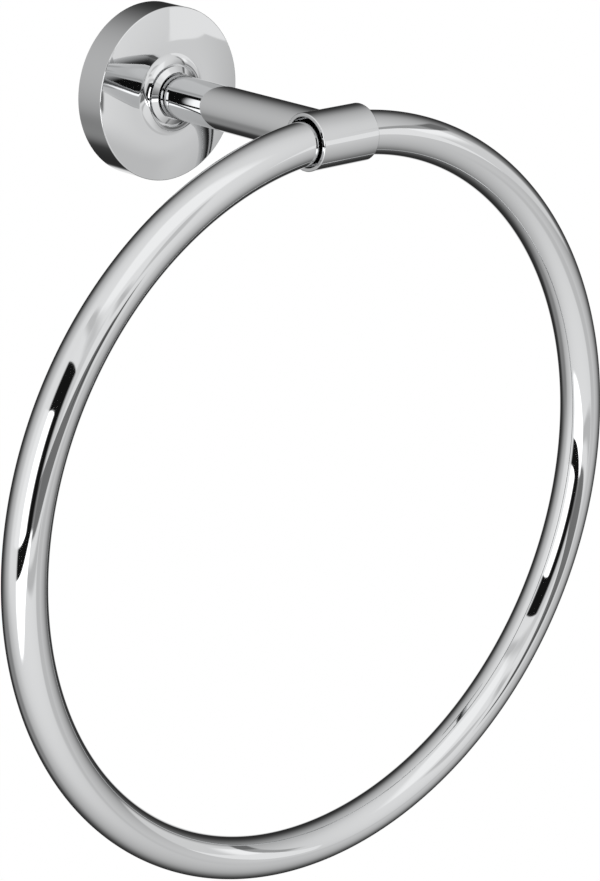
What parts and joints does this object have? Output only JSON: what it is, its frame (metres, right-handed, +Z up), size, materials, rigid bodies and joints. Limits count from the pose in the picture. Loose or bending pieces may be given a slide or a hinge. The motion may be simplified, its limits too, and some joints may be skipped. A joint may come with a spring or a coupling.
{
  "type": "towel ring",
  "caption": "Wall-mounted towel ring: round escutcheon over a hidden wall bracket, straight post, and a short horizontal sleeve in which a round ring of bent bar hangs and swings.",
  "frame": {"origin": "centre of the wall bracket's rear face, on the wall, on the axis of the escutcheon and post", "axes": "+Y into the wall along the post's axis, so the object stands out towards -Y; +Z up; +X to the right of someone facing the wall, along the sleeve"},
  "size_m": [0.2, 0.0775, 0.2168],
  "materials": {
    "chrome": "polished chrome plate on brass",
    "plated_steel": "bright zinc plate",
    "screw_steel": "plain stainless steel",
    "bare_brass": "bare turned brass"
  },
  "bodies": {
    "holder": {"wall_bracket": "plated_steel", "escutcheon": "chrome", "grub_screw": "screw_steel", "post": "chrome", "post_screw": "screw_steel", "spring_washer": "screw_steel", "sleeve": "chrome"},
    "ring": {"ring": "chrome", "ring_dowel": "bare_brass"}
  },
  "joints": [
    {"name": "ring_swing", "type": "hinge", "parent": "holder", "child": "ring", "pos_m": [0, -0.0704, 0], "axis": [1, 0, 0], "range_deg": [-200, 20]}
  ]
}
